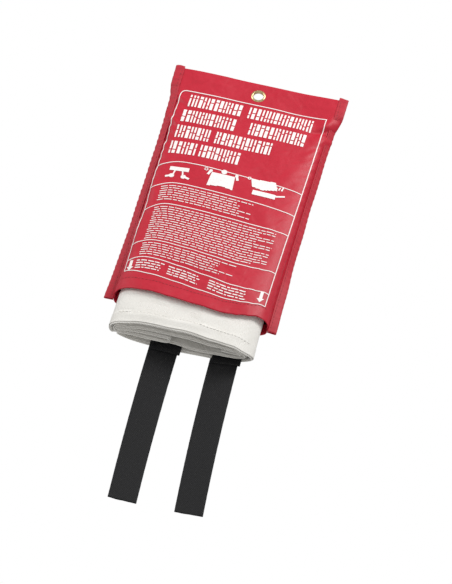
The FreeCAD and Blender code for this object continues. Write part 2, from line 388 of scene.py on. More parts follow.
def panel_grid(side, push):
    """Grid of points and flat positions of one panel."""
    grid = []
    flat = []
    down = 0.0
    for z, inset in panel_heights():
        points, across = panel_row(max(z, mouth_z), side, inset)
        grid.append([(x, y, z) for x, y in points])
        if len(grid) > 1:
            middle = len(points) // 2
            down += math.dist(grid[-1][middle], grid[-2][middle])
        flat.append([(u, down) for u in across])
    grid = np.array(grid)
    flat = np.array(flat)
    outer_rows = PANEL_STEPS + 1
    normals = grid_normals(grid[:outer_rows], side)
    normals[:, :, 2] *= 0.4
    for r in range(len(grid)):
        source = min(r, outer_rows - 1)
        half_length = flat[r, -1 - FLANGE_POINTS, 0]
        for c in range(grid.shape[1]):
            x, y, z = grid[r, c]
            amount = push(x, flat[r, c, 0], half_length, max(z, mouth_z))
            grid[r, c] += normals[source, c] * amount
            grid[r, c, 1] += header_wave(x, z)
            grid[r, c, 2] += sag(x, z) if side == FRONT else 0.0
    return grid, flat


def make_panel(name, side, push):
    """A panel as a thin closed cloth with the eyelet's hole cut through it."""
    grid, flat = panel_grid(side, push)
    cloth_grids[name] = (grid, flat)
    rows, columns = grid.shape[:2]
    obj = object_from_mesh(
        name, grid.reshape(-1, 3), grid_faces(rows, columns, flip=side == FRONT), flat.reshape(-1, 2)
    )
    apply_modifier(obj, "SOLIDIFY", thickness=CLOTH_THICKNESS * MM, offset=-1.0)
    cut_eyelet_hole(obj)
    return obj


def cut_eyelet_hole(obj):
    """Punch the round hole that the eyelet is set in."""
    bpy.ops.object.select_all(action="DESELECT")
    bpy.ops.mesh.primitive_cylinder_add(
        vertices=48, radius=PUNCH_RADIUS * MM, depth=30 * MM, rotation=(math.pi / 2, 0, 0)
    )
    punch = bpy.context.active_object
    bpy.ops.object.transform_apply(location=True, rotation=True, scale=True)
    apply_modifier(obj, "BOOLEAN", operation="DIFFERENCE", object=punch, solver="EXACT")
    bpy.data.objects.remove(punch)


front_cloth = make_panel("pouch_front_cloth", FRONT, front_push)
back_cloth = make_panel("pouch_back_cloth", BACK, back_push)
for obj in (front_cloth, back_cloth):
    print(obj.name, len(obj.data.polygons), "faces")

# %% [markdown]
# Each side edge is closed with a woven tape folded round it and sewn through. The tape is a sheet too: its
# row is a narrow U round the fin, and it gathers a little between the stitches, more on the left side.
# The cut ends stand past the top edge and past the mouth.

# %% Binding tape
TAPE_ROUND = [(7.9, 1.32), (8.9, 1.05), (9.45, 0.5), (9.45, -0.5), (8.9, -1.05), (7.9, -1.32)]
TAPE_FLAT = [0.0, 0.6, 1.4, 2.4, 3.6, 5.0, 6.5]
TAPE_STEP = 1.6
TAPE_THICKNESS = 0.45
TAPE_HALF = 1.35
TAPE_OUT = 1.1
SEAM_OUT = 2.4
SEAM_AHEAD = 1.42


def tape_row():
    """Points of the tape's section: distance out along the fin, and distance in front of it."""
    front = [(a, TAPE_HALF) for a in TAPE_FLAT]
    back = [(a, -TAPE_HALF) for a in reversed(TAPE_FLAT)]
    return front + TAPE_ROUND + back


def tape_pucker(side, z, reach):
    """The tape's gathers between stitches, in millimetres."""
    strength = 0.42 if side < 0 else 0.22
    beat = math.sin(z / 1.15 + 2.5 * rough(z, 0, 30, 4.0 + side))
    slow = 0.5 * rough(z, reach, 16, 8.0 + side)
    return strength * (beat * (0.4 + 0.06 * reach) + slow)


def tape_point(side, z, out, ahead):
    """Place of one point of the tape round the fin."""
    foot, outward, front = fin(side, z)
    sway = tape_pucker(side, z, out)
    place = foot + outward * (TAPE_OUT + out) + front * (ahead + sway)
    x, y = place
    return x, y + header_wave(x, z), z


def make_tape(name, side, low, high):
    """One side's tape, from below the mouth to above the top edge."""
    section = tape_row()
    count = round((high - low) / TAPE_STEP)
    points = []
    flat = []
    measure = [0.0]
    for (a0, b0), (a1, b1) in zip(section, section[1:]):
        measure.append(measure[-1] + math.hypot(a1 - a0, b1 - b0))
    for i in range(count + 1):
        z = high - (high - low) * i / count
        end = max(0.0, 1 - abs(z - high) / 4.0)
        for (out, ahead), u in zip(section, measure):
            lift = 0.5 * end * math.sin(out / 2.1 + side)
            points.append(tape_point(side, z + lift, out, ahead))
            flat.append((u, high - z))
    obj = object_from_mesh(name, points, grid_faces(count + 1, len(section), flip=side > 0), flat)
    apply_modifier(obj, "SOLIDIFY", thickness=TAPE_THICKNESS * MM, offset=-1.0)
    return obj


tapes = {}
for name, side in (("left", -1), ("right", 1)):
    tapes[side] = make_tape(name + "_binding_tape", side, tape_low[2], tape_high[2])
    print(tapes[side].name, len(tapes[side].data.polygons), "faces")

# %% [markdown]
# A lockstitch shows as a row of short plump threads, each sunk at both ends. One stitch is modelled from a
# sphere, a little flattened, and then copied along each seam with its own place, direction and a little
# unevenness.

# %% One stitch
STITCH_LENGTH = 2.9
STITCH_WIDTH = 0.62
STITCH_PITCH = 3.7


def model_stitch():
    """Points and faces of one stitch, lying along X with its top towards +Z."""
    bpy.ops.object.select_all(action="DESELECT")
    bpy.ops.mesh.primitive_uv_sphere_add(segments=12, ring_count=6, radius=1.0, rotation=(0, math.pi / 2, 0))
    stitch = bpy.context.active_object
    bpy.ops.object.transform_apply(location=True, rotation=True, scale=True)
    bpy.ops.object.mode_set(mode="EDIT")
    bpy.ops.mesh.select_all(action="SELECT")
    bpy.ops.transform.resize(value=(STITCH_LENGTH / 2, STITCH_WIDTH / 2, STITCH_WIDTH / 2))
    bpy.ops.object.mode_set(mode="OBJECT")
    points = np.array([v.co for v in stitch.data.vertices])
    faces = [tuple(p.vertices) for p in stitch.data.polygons]
    bpy.data.objects.remove(stitch)
    return points, faces


stitch_points, stitch_faces = model_stitch()


def stitch_row(name, places):
    """One mesh of many stitches from (place, direction, outward) triples, in millimetres."""
    points = []
    faces = []
    rng = np.random.default_rng(len(places))
    for place, direction, outward in places:
        direction = Vector(direction).normalized()
        outward = Vector(outward).normalized()
        across = outward.cross(direction).normalized()
        outward = direction.cross(across)
        turn = Matrix((direction, across, outward)).transposed()
        start = len(points)
        stretch = 1 + rng.uniform(-0.08, 0.08)
        sway = rng.uniform(-0.12, 0.12)
        for p in stitch_points:
            local = Vector((p[0] * stretch, p[1] + sway, p[2] * 0.8))
            points.append(tuple(Vector(place) + turn @ local))
        faces += [tuple(start + i for i in face) for face in stitch_faces]
    return object_from_mesh(name, points, faces)


def seam_places(side):
    """Where the side seam's stitches lie, on the front and on the back of the tape."""
    places = []
    count = int((top_z - mouth_z - 2) / STITCH_PITCH)
    for i in range(count):
        z = top_z - 2.0 - STITCH_PITCH * (i + 0.5)
        for face in (1, -1):
            place = tape_point(side, z, SEAM_OUT, face * SEAM_AHEAD)
            ahead = Vector(tape_point(side, z + 1, SEAM_OUT, face * SEAM_AHEAD)) - Vector(place)
            front = fin(side, z)[2] * face
            places.append((place, ahead, (front.x, front.y, 0.0)))
    return places


seam_threads = {}
for name, side in (("left", -1), ("right", 1)):
    seam_threads[side] = stitch_row(name + "_seam_thread", seam_places(side))
    print(seam_threads[side].name, len(seam_places(side)), "stitches")

# %% [markdown]
# Anything laid on the front cloth, thread or print, needs a place on the finished, folded surface. This
# function takes a place, so many millimetres across the flat cloth and at a row's height, and returns the
# point there with the surface's normal, by reading the grid that the panel was made from.

# %% Places on the finished cloth


def on_cloth(name, across, height, lift, side=FRONT):
    """Point and normal on a panel at a flat place across from the middle and at a row's height."""
    grid, flat = cloth_grids[name]
    row = (top_z - height) / (top_z - mouth_z) * PANEL_STEPS
    r = min(max(math.floor(row), 0), PANEL_STEPS - 1)
    down = row - r
    corners = []
    for k in (r, r + 1):
        column = np.interp(across, flat[k, :, 0], np.arange(flat.shape[1]))
        c = int(min(math.floor(column), flat.shape[1] - 2))
        share = column - c
        edge = grid[k, c + 1] - grid[k, c]
        corners.append((grid[k, c] + edge * share, edge))
    place = corners[0][0] * (1 - down) + corners[1][0] * down
    along = corners[0][1] * (1 - down) + corners[1][1] * down
    drop = corners[1][0] - corners[0][0]
    normal = np.cross(along, drop)
    normal /= np.linalg.norm(normal)
    if normal[1] * side < 0:
        normal = -normal
    return place + normal * lift, normal


MOUTH_SEAM_END = 76.0
MOUTH_SEAM_UP = 13.2
THREAD_LIFT = 0.1


def mouth_places(name, side):
    """Where the mouth hem's stitches lie."""
    places = []
    across = -MOUTH_SEAM_END
    while across < MOUTH_SEAM_END:
        place, normal = on_cloth(name, across, mouth_z + MOUTH_SEAM_UP, THREAD_LIFT, side)
        ahead = on_cloth(name, across + 1, mouth_z + MOUTH_SEAM_UP, THREAD_LIFT, side)[0] - place
        places.append((place, ahead, normal))
        across += STITCH_PITCH
    return places


front_mouth_thread = stitch_row("front_mouth_thread", mouth_places("pouch_front_cloth", FRONT))
back_mouth_thread = stitch_row("back_mouth_thread", mouth_places("pouch_back_cloth", BACK))

# %% [markdown]
# The eyelet is turned brass: a flange with a rolled rim in front, a thin tube, and a ring clenched behind.
# A circle is extruded from station to station round the profile and then closed, which is how a spun part
# grows under the tool.

# %% Turned rings


def turned_ring(name, profile):
    """A closed ring round the Y axis from (radius, y) stations in millimetres."""
    bpy.ops.object.select_all(action="DESELECT")
    radius, depth = profile[0]
    bpy.ops.mesh.primitive_circle_add(
        vertices=64, radius=radius * MM, location=(0, depth * MM, 0), rotation=(math.pi / 2, 0, 0)
    )
    ring = bpy.context.active_object
    ring.name = name
    bpy.ops.object.transform_apply(location=True, rotation=True, scale=True)
    bpy.ops.object.mode_set(mode="EDIT")
    bpy.ops.mesh.select_all(action="SELECT")
    for (r0, y0), (r1, y1) in zip(profile, profile[1:] + profile[:1]):
        grow = r1 / r0
        bpy.ops.mesh.extrude_edges_move(TRANSFORM_OT_translate={"value": (0, (y1 - y0) * MM, 0)})
        bpy.ops.transform.resize(value=(grow, 1, grow), center_override=(0, y1 * MM, 0))
    bpy.ops.mesh.select_all(action="SELECT")
    bpy.ops.mesh.remove_doubles(threshold=0.01 * MM)
    bpy.ops.mesh.normals_make_consistent(inside=False)
    bpy.ops.object.mode_set(mode="OBJECT")
    bpy.ops.object.shade_smooth_by_angle(angle=math.radians(38))
    return ring


eyelet_low, eyelet_high = node_box("eyelet_barrel")
bore = 5.3
rim = eyelet_high[2]
front_y = eyelet_low[1]
flange_profile = [
    (bore, 1.9), (bore, front_y + 0.55), (bore + 0.12, front_y + 0.25), (bore + 0.45, front_y + 0.05),
    (bore + 0.95, front_y), (bore + 1.45, front_y + 0.12), (rim - 0.35, front_y + 0.62),
    (rim - 0.08, front_y + 0.78), (rim, front_y + 0.95), (rim - 0.12, -0.72), (bore + 0.5, -0.72),
    (bore + 0.5, 1.4), (bore + 1.4, 1.4), (bore + 1.4, 1.65), (bore + 1.1, 1.86), (bore + 0.6, 1.95),
]
washer_profile = [
    (bore + 0.55, 0.82), (rim - 0.2, 0.82), (rim, 0.95), (rim, 1.15), (rim - 0.25, 1.36), (bore + 0.55, 1.38),
]
eyelet_barrel = turned_ring("brass_eyelet", flange_profile)
eyelet_washer = turned_ring("brass_washer", washer_profile)
print("eyelet rim radius", round(rim, 2), "bore", bore)

# %% [markdown]
# The blanket is one square of glass-fibre cloth, a metre each way. It is folded in four like a fan from
# top to bottom, and the long strip that this makes is then wound flat into the pack: the first turns go
# back and forth, and the last one wraps them all. From below, each layer of the pack shows as four plies.
# The strip's path is laid out first, seen from above, as straight runs and half turns.

# %% The strip's path
PLY_PITCH = 0.84
wrap = pack_half_width - 2.2
level = {
    "front": -23.3, "second": -17.9, "third": -12.5, "inner": -6.4,
    "fold_front": -6.9, "fold_back": -0.8, "fifth": 4.3, "back": 13.4,
}


def run(x0, x1, y):
    """A straight run of the strip with a slight, uneven wave."""
    count = max(2, round(abs(x1 - x0) / 5.5))
    points = []
    for i in range(count + 1):
        x = x0 + (x1 - x0) * i / count
        calm = math.sin(math.pi * i / count)
        points.append((x, y + 0.8 * calm * rough(x, y, 30, 2.0)))
    return points


def half_turn(x, y0, y1, towards, count=11):
    """A half turn from y0 to y1 that bulges towards +X or -X."""
    radius = abs(y1 - y0) / 2
    middle = (y0 + y1) / 2
    start = math.copysign(math.pi / 2, y0 - middle)
    points = []
    for i in range(1, count):
        angle = start * (1 - 2 * i / count)
        points.append((x + towards * radius * math.cos(angle), middle + radius * math.sin(angle)))
    return points


def strip_path():
    """The whole path, from the inner free end to the outer one."""
    lv = level
    outer = (lv["back"] - lv["front"]) / 2
    path = run(42, 60, lv["inner"])
    path += half_turn(60, lv["inner"], lv["third"], 1, 8)
    path += run(60, -66, lv["third"])
    path += half_turn(-66, lv["third"], lv["fold_front"], -1, 8)
    path += run(-66, -15, lv["fold_front"])
    path += half_turn(-15, lv["fold_front"], lv["fold_back"], 1, 8)
    path += run(-15, -62, lv["fold_back"])
    path += half_turn(-62, lv["fold_back"], lv["second"], -1, 12)
    path += run(-62, wrap - outer, lv["second"])
    path += half_turn(wrap - outer, lv["second"], lv["fifth"], 1, 14)
    path += run(wrap - outer, 14 - wrap, lv["fifth"])
    path += half_turn(14 - wrap, lv["fifth"], lv["front"], -1, 16)
    path += run(14 - wrap, wrap - outer, lv["front"])
    path += half_turn(wrap - outer, lv["front"], lv["back"], 1, 20)
    path += run(wrap - outer, -52, lv["back"])
    path += [(x, lv["back"] - drop) for x, drop in ((-56, 0.6), (-60, 2.0), (-64, 4.2), (-67, 6.4))]
    return np.array(path)


path = strip_path()
path_steps = np.hypot(np.diff(path[:, 0]), np.diff(path[:, 1]))
path_length = np.concatenate([[0.0], np.cumsum(path_steps)])
print("strip length", round(path_length[-1]), "mm in", len(path), "points")

# %% [markdown]
# Each point of the path carries the fan of four plies. The fan's own profile is a list of heights and
# offsets: down one ply, round a fold, up the next. Inside the pouch the pack is squeezed to the pocket's
# depth, and at its lower end the layers reach to slightly different heights. The squeeze works point by
# point, so in places one layer of the pack passes through the next.

# %% The fan of plies
HEM_ROW = 12.2
HEM_LIFT = 0.55
GLASS_THICKNESS = 0.45
PLY_STOPS = [0.0, 0.7, 2, 4, 7, 10, HEM_ROW, 13.0, 16, 21, 28, 38]
PLY_STOPS += [50 + 14 * k for k in range(14)] + [241, 249]
fold_radius = PLY_PITCH / 2


def fan_profile():
    """(height above the pack's end, offset, flat measure) for every row, outermost ply first."""
    rows = []
    measure = 0.0
    for ply in range(4):
        offset = (1.5 - ply) * PLY_PITCH
        stops = PLY_STOPS if ply % 2 == 0 else PLY_STOPS[::-1]
        for height in stops:
            ridge = 0.22 if ply == 0 and height < 12.5 else 0.0
            rows.append((height, offset + ridge, ply))
        if ply < 3:
            end = stops[-1]
            beyond = 1 if ply % 2 == 0 else -1
            for k in range(1, 4):
                angle = math.pi * k / 4
                fat = 1.0 if beyond > 0 else 1.25
                lift = beyond * fold_radius * fat * math.sin(angle)
                rows.append((end + lift, offset - fold_radius * (1 - math.cos(angle)), ply + 0.5))
    profile = []
    for i, (height, offset, ply) in enumerate(rows):
        if i:
            measure += math.hypot(height - rows[i - 1][0], offset - rows[i - 1][1])
        profile.append((height, offset, ply, measure))
    return profile


# The pack's middle and half thickness, front to back, the gap to a pouch cloth that is aimed at, the
# height the pack can slide up, and where its flat middle gives way to rounded sides.
PACK_MIDDLE = -4.6
PACK_NEED = 20.8
CLOTH_GAP = 2.1
SLIDE_UP = 36.0
FLAT_HALF = 58.0
ROUND_WIDTH = 22.0
LEAST_HALF = 0.8


def cloth_y(name, x, z):
    """Place of a pouch cloth, front to back, at x and about z."""
    grid = cloth_grids[name][0]
    row = round((top_z - z) / (top_z - mouth_z) * (grid.shape[0] - 1))
    row = min(max(row, 0), grid.shape[0] - 1)
    return np.interp(x, grid[row, :, 0], grid[row, :, 1])


def squeeze(x, y, z):
    """Where a point of the pack lies once the pocket has squeezed it, with some room to slide up."""
    half_room = fin_foot_x - stations(z + SLIDE_UP, fin_pull_in) - 3.0
    x *= min(1.0, half_room / pack_half_width)
    beyond = max(abs(x) - FLAT_HALF, 0.0) / ROUND_WIDTH
    need = PACK_NEED * math.sqrt(max(1 - beyond ** 2, 0.25))
    lifts = [SLIDE_UP * k / 4 for k in range(5) if z + SLIDE_UP * k / 4 > mouth_z] or [SLIDE_UP]
    front = max([PACK_MIDDLE - need] + [cloth_y("pouch_front_cloth", x, z + up) + CLOTH_GAP for up in lifts])
    back = min([PACK_MIDDLE + need] + [cloth_y("pouch_back_cloth", x, z + up) - CLOTH_GAP for up in lifts])
    if back - front < 2 * LEAST_HALF:
        middle = (front + back) / 2
        front = middle - LEAST_HALF
        back = middle + LEAST_HALF
    share = (y - PACK_MIDDLE + need) / (2 * need)
    return x, front + min(max(share, 0.0), 1.0) * (back - front)


# Pairs of (place across the pack, drop) for the pack's front and rear layers.
front_end = [(90, 5.5), (66, 5.0), (54, 3.0), (33, 2.0), (0, -1.6), (-40, -1.4), (-62, 0.4), (-90, 1.2)]
rear_end = [(90, -1.5), (68, -0.5), (54, 0.5), (30, 1.0), (0, 2.0), (-32, 1.2), (-54, 0.0), (-90, -0.5)]


def end_drop(x, y):
    """How far below the pack's mean end a place of the pack hangs."""
    share = float(smooth(y, level["front"], level["back"]))
    fold = 2.4 * float(smooth(y, -8.5, -5.0)) * float(smooth(-y, -2.0, 1.5)) * float(smooth(-x, 6.0, 20.0))
    sunk = 2.6 * float(smooth(y, -21.0, -19.5)) * float(smooth(-y, 14.5, 16.0))
    sunk += 3.0 * float(smooth(y, 1.8, 3.0)) * float(smooth(-y, -8.0, -6.6)) * float(smooth(-x, -12.0, 10.0))
    sunk *= float(smooth(-abs(x), -68.0, -46.0))
    return stations(x, front_end) * (1 - share) + stations(x, rear_end) * share + fold - sunk


def end_lift(s, ply):
    """How much higher than its neighbours a ply ends, in millimetres."""
    hem = 0.9 if ply in (0, 3) else 0.0
    return 0.7 * rough(s, 3 * ply, 62, 5.0) + 0.4 * rough(s, 9 * ply, 17, 6.0) + hem


def make_blanket():
    """The folded sheet as one grid: along the strip, and down and up its four plies."""
    tangent = np.gradient(path, axis=0)
    tangent /= np.linalg.norm(tangent, axis=1, keepdims=True)
    outward = np.stack([tangent[:, 1], -tangent[:, 0]], axis=1)
    profile = fan_profile()
    points = []
    flat = []
    for height, offset, ply, measure in profile:
        for i, (x, y) in enumerate(path):
            s = path_length[i]
            low = 1 - float(smooth(height, 0.0, 60.0))
            spread = 1 + 0.10 * rough(s, height, 45, 1.0)
            px = x + outward[i, 0] * offset * spread
            py = y + outward[i, 1] * offset * spread
            z = pack_bottom + height + (end_lift(s, round(ply)) - end_drop(x, y)) * low
            soft = 0.5 * rough(s, z, 40, 3.0)
            px, py = squeeze(px + outward[i, 0] * soft, py + outward[i, 1] * soft, z)
            points.append((px, py, min(z, pack_top)))
            flat.append((s, measure))
    obj = object_from_mesh("glass_cloth_blanket", points, grid_faces(len(profile), len(path)), flat)
    apply_modifier(obj, "SOLIDIFY", thickness=GLASS_THICKNESS * MM, offset=0.0)
    return obj, np.array(points).reshape(len(profile), len(path), 3)


blanket, blanket_grid = make_blanket()
print(blanket.name, len(blanket.data.polygons), "faces")


def hem_places():
    """Where the blanket's hem stitches show on the outer layer, from the left wrap to the right one."""
    row = PLY_STOPS.index(HEM_ROW)
    first = next(i for i, (x, y) in enumerate(path) if y < level["front"] + 6 and path_length[i] > 600)
    last = max(i for i, (x, y) in enumerate(path) if y < level["front"] + 8)
    line = blanket_grid[row, first:last + 1]
    steps = np.linalg.norm(np.diff(line, axis=0), axis=1)
    length = np.concatenate([[0.0], np.cumsum(steps)])
    places = []
    for d in np.arange(2.0, length[-1] - 2.0, STITCH_PITCH):
        place = np.array([np.interp(d, length, line[:, k]) for k in range(3)])
        ahead = np.array([np.interp(d + 1, length, line[:, k]) for k in range(3)]) - place
        out = (ahead[1], -ahead[0], 0.0)
        place += np.array(Vector(out).normalized()) * HEM_LIFT
        places.append((place, ahead, out))
    return places


hem_thread = stitch_row("blanket_hem_thread", hem_places())

# %% [markdown]
# The straps are flat woven webbing, so they are modelled directly as ribbons: thick, a little rounded at
# the edges, with a slow bow and a slight twist. The upper end runs up between the blanket's rear layers,
# where it is folded over and sewn, which shows as a short wider double thickness under the pack. The
# lower end is cut with a hot knife and curls a little at one corner.

# %% Webbing straps
strap_style = {
    "left": {"twist": 3.0, "sway": 0.9, "curl": 1.6},
    "right": {"twist": -9.0, "sway": -0.7, "curl": 0.7},
}


WEBBING_THICKNESS = 1.6


def strap_centre(name, z):
    """Centre of a strap at height z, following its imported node."""
    low, high = node_box(name + "_strap_sewn_end")
    free_low, free_high = node_box(name + "_strap")
    x = (low[0] + high[0]) / 2
    y = (low[1] + high[1]) / 2
    width = high[0] - low[0]
    lean = free_high[0] - free_low[0] - width
    bend = free_high[2] - 0.9
    share = max((bend - z) / (bend - free_low[2]), 0.0)
    bow = -1.2 * 4 * share * (1 - share)
    return x + lean * share + bow, y, width, bend, free_low[2], share


def ribbon(name, top, bottom, half_width, shift, ahead, style, strap, curl=0.0):
    """A flat ribbon along a strap's centre line as a thin closed mesh."""
    columns = 13
    count = max(6, round((top - bottom) / 2.6))
    points = []
    flat = []
    for i in range(count + 1):
        z = top - (top - bottom) * i / count
        x, y, width, bend, end, share = strap_centre(strap, z)
        turn = math.radians(style["twist"]) * (1 - 0.55 * share)
        sway = style["sway"] * math.sin(math.pi * share)
        for c in range(columns):
            across = half_width * (2 * c / (columns - 1) - 1)
            edge = 0.12 * rough(z, c, 5, 2.0) if c in (0, columns - 1) else 0.0
            cup = 0.25 * (across / half_width) ** 2
            near_end = max(0.0, 1 - (z - bottom) / 9.0) * max(0.0, -across / half_width) ** 2
            px = x + shift + (across + edge) * math.cos(turn)
            py = y + ahead + sway + cup + across * math.sin(turn) - curl * near_end
            points.append((px, py, z + 0.25 * rough(across, i, 7, 4.0) * (i == count)))
            flat.append((across, top - z))
    obj = object_from_mesh(name, points, grid_faces(count + 1, columns), flat)
    apply_modifier(obj, "SOLIDIFY", thickness=WEBBING_THICKNESS * MM, offset=0.0)
    sharp = math.radians(50)
    apply_modifier(obj, "BEVEL", width=0.45 * MM, segments=2, limit_method="ANGLE", angle_limit=sharp)
    return obj


def make_strap(strap):
    """One strap with its short doubled end, joined into a single piece."""
    style = strap_style[strap]
    x, y, width, bend, end, share = strap_centre(strap, pack_bottom)
    main = ribbon(strap + "_webbing", pack_bottom + 26, end, width / 2, 0.0, 0.0, style, strap, style["curl"])
    double = ribbon("fold", pack_bottom + 14, bend - 4.5, width / 2 + 0.6, 2.0, -1.75, style, strap)
    only(main)
    double.select_set(True)
    bpy.ops.object.join()
    return main, (x * MM, y * MM, (bend + 0.4) * MM), (x * MM, y * MM, (bend - 9.0) * MM)


straps = {strap: make_strap(strap) for strap in strap_style}
for strap, (obj, start, end) in straps.items():
    print(obj.name, len(obj.data.polygons), "faces")

# %% [markdown]
# The box stitches that hold the straps are deep between the blanket's layers, but they are part of the
# object, so they are made as real stitches too: a rectangle of thread on each strap's upper end.

# %% Box stitches


def box_places(strap):
    """A rectangle of stitches on the front of a strap's sewn end."""
    low, high = node_box(strap + "_strap_box_stitching")
    y = low[1] + 0.1
    places = []
    for x in np.arange(low[0] + 2, high[0] - 1, STITCH_PITCH):
        places.append(((x, y, low[2]), (1, 0, 0), (0, -1, 0)))
        places.append(((x, y, high[2]), (1, 0, 0), (0, -1, 0)))
    for z in np.arange(low[2] + 2, high[2] - 1, STITCH_PITCH):
        places.append(((low[0], y, z), (0, 0, 1), (0, -1, 0)))
        places.append(((high[0], y, z), (0, 0, 1), (0, -1, 0)))
    return places


box_threads = {strap: stitch_row(strap + "_box_thread", box_places(strap)) for strap in straps}
for strap, thread in box_threads.items():
    print(thread.name, len(thread.data.polygons), "faces")

# %% [markdown]
# The pouch is screen-printed in one white ink: a frame, four rows of heading, three small pictures and
# close rows of directions. Here the words are plain marks with no letters, and the pictures are generic.
# Ink has hardly any thickness, so each mark is a thin strip laid a hair above the cloth and cut into
# short steps, so that it follows every crease. Marks are strokes, discs or filled outlines.

# %% Laying ink on the cloth
INK_LIFT = 0.34
INK_STEP = 2.6
INK_FILL = 0.9
BAR_BAND = 3.2
ink_points = []
ink_faces = []
ink_random = random.Random(11)


def ink_point(u, z):
    """Add one point of ink at a flat place of the front cloth and return its number."""
    place, normal = on_cloth("pouch_front_cloth", u, z, INK_LIFT)
    ink_points.append(place)
    return len(ink_points) - 1


def ink_stroke(line, width):
    """A stroke of ink along a line of flat places."""
    line = np.array(line, float)
    steps = np.hypot(*np.diff(line, axis=0).T)
    length = np.concatenate([[0.0], np.cumsum(steps)])
    count = max(1, math.ceil(length[-1] / INK_STEP))
    before = None
    for d in np.linspace(0.0, length[-1], count + 1):
        here = np.array([np.interp(d, length, line[:, k]) for k in range(2)])
        ahead = np.array([np.interp(d + 0.2, length, line[:, k]) for k in range(2)])
        behind = np.array([np.interp(d - 0.2, length, line[:, k]) for k in range(2)])
        along = (ahead - behind) / max(np.linalg.norm(ahead - behind), 1e-6)
        side = np.array([-along[1], along[0]]) * width / 2
        pair = (ink_point(*(here + side)), ink_point(*(here - side)))
        if before:
            ink_faces.append((before[0], before[1], pair[1], pair[0]))
        before = pair


def ink_bar(u0, u1, z0, z1):
    """A filled block of ink, made of level strokes where it is tall."""
    bands = max(1, math.ceil((z1 - z0) / BAR_BAND))
    for b in range(bands):
        low = z0 + (z1 - z0) * b / bands
        high = z0 + (z1 - z0) * (b + 1) / bands
        ink_stroke([(u0, (low + high) / 2), (u1, (low + high) / 2)], high - low)


def ink_outline(corners):
    """A filled outline of ink, made of close level strokes between its sides."""
    heights = [z for u, z in corners]
    count = max(2, math.ceil((max(heights) - min(heights)) / INK_FILL))
    step = (max(heights) - min(heights)) / count
    for k in range(count):
        z = min(heights) + (k + 0.5) * step
        crossings = []
        for (u0, z0), (u1, z1) in zip(corners, corners[1:] + corners[:1]):
            if (z0 <= z) != (z1 <= z):
                crossings.append(u0 + (u1 - u0) * (z - z0) / (z1 - z0))
        crossings.sort()
        for u0, u1 in zip(crossings[::2], crossings[1::2]):
            ink_stroke([(u0, z), (u1, z)], step)


def ink_disc(u, z, radius, flat=1.0):
    """A disc or an oval of ink."""
    turns = [2 * math.pi * k / 14 for k in range(14)]
    ink_outline([(u + radius * math.cos(t), z + flat * radius * math.sin(t)) for t in turns])


# %% [markdown]
# The frame has one rounded corner and three square ones. The curved rules start low at the frame's left
# side, rise to a crest and sag away to the right.

# %% Frame and rules
frame_left = -76.8
frame_right = 74.0
frame_top = -12.0
frame_foot = [(frame_left, -262.0), (-30, -264.5), (20, -267.5), (frame_right, -270.5)]
rule_crest = -52
# Heights of each rule at the frame's left side, at its crest and at the right side.
rule_heights = [
    (-116, -109, -116), (-147, -138, -146), (-177, -167, -173), (-226, -218, -225), (-248, -242, -254),
]
LINE_WIDTH = 0.95
CORNER = 5

corner = []
for t in np.linspace(0, math.pi / 2, 6):
    corner.append((frame_left + CORNER - CORNER * math.sin(t), frame_top - CORNER + CORNER * math.cos(t)))
ink_stroke([(frame_right, frame_top), (0, frame_top)] + corner + [(frame_left, -262.0)], LINE_WIDTH)
ink_stroke([(frame_right, frame_top + LINE_WIDTH / 2), (frame_right, -270.5)], LINE_WIDTH)
ink_stroke(frame_foot, LINE_WIDTH)


def rule_height(heights, u):
    """Height of a curved rule at a place across the cloth."""
    left, crest, right = heights
    if u < rule_crest:
        return left + (crest - left) * math.sin((u - frame_left) / (rule_crest - frame_left) * math.pi / 2)
    share = (u - rule_crest) / (frame_right - rule_crest)
    return crest + (right - crest) * share ** 1.25


for heights in rule_heights:
    ink_stroke([(u, rule_height(heights, u)) for u in np.linspace(frame_left, frame_right, 40)], LINE_WIDTH)
print("frame and rules", len(ink_faces), "faces")

# %% [markdown]
# The heading is four rows of tall narrow type. Upright blocks of mixed width, each cut by a slit, give
# its weight and rhythm from a distance and spell nothing.

# %% Heading marks
# Foot, head and the (left, right) ends of the words in each row.
heading_rows = [
    (-32.5, -16.0, [(-66, -9), (-4, 63)]),
    (-54.5, -38.0, [(-68, -10), (2, 61)]),
    (-76.5, -60.0, [(-69, -31), (-28, 30)]),
    (-98.5, -82.0, [(-70, -43), (-39, 2)]),
]


def heading_block(u0, u1, z0, z1):
    """One upright block of the heading, cut in two by a slit at a mixed height."""
    slit = z0 + (z1 - z0) * ink_random.choice((0.3, 0.42, 0.5, 0.62, 0.75))
    ink_bar(u0, u1, z0, slit - 0.7)
    ink_bar(u0, u1, slit + 0.7, z1)


for z0, z1, words in heading_rows:
    for u0, u1 in words:
        u = u0
        while u < u1 - 1.5:
            wide = min(ink_random.choice((1.7, 1.7, 3.2)), u1 - u)
            heading_block(u, u + wide, z0, z1)
            u += wide + ink_random.choice((1.5, 1.9))
print("heading", len(ink_faces), "faces")

# %% [markdown]
# The directions are close rows of small type, drawn as short dashes with gaps between the words. They
# follow the bow of the rules above and below them. The lowest band has three short blocks.

# %% Rows of small dashes
ROW_PITCH = 3.1
DASH_HEIGHT = 0.95
# Upper rule, lower rule, right end, and 1 where every other row is short as well as every third.
small_blocks = [(0, 1, 33, 0), (1, 2, 31, 1), (2, 3, 62, 0), (3, 4, 34, 1)]


def dash_row(u0, u1, heights, drop, height=DASH_HEIGHT):
    """One row of dashes at a fixed drop below a curved rule."""
    u = u0
    while u < u1:
        word = min(ink_random.uniform(2.2, 8.5), u1 - u)
        line = [(a, rule_height(heights, a) - drop) for a in np.linspace(u, u + word, 2 + int(word > 4))]
        ink_stroke(line, height)
        u += word + ink_random.uniform(1.0, 1.5)


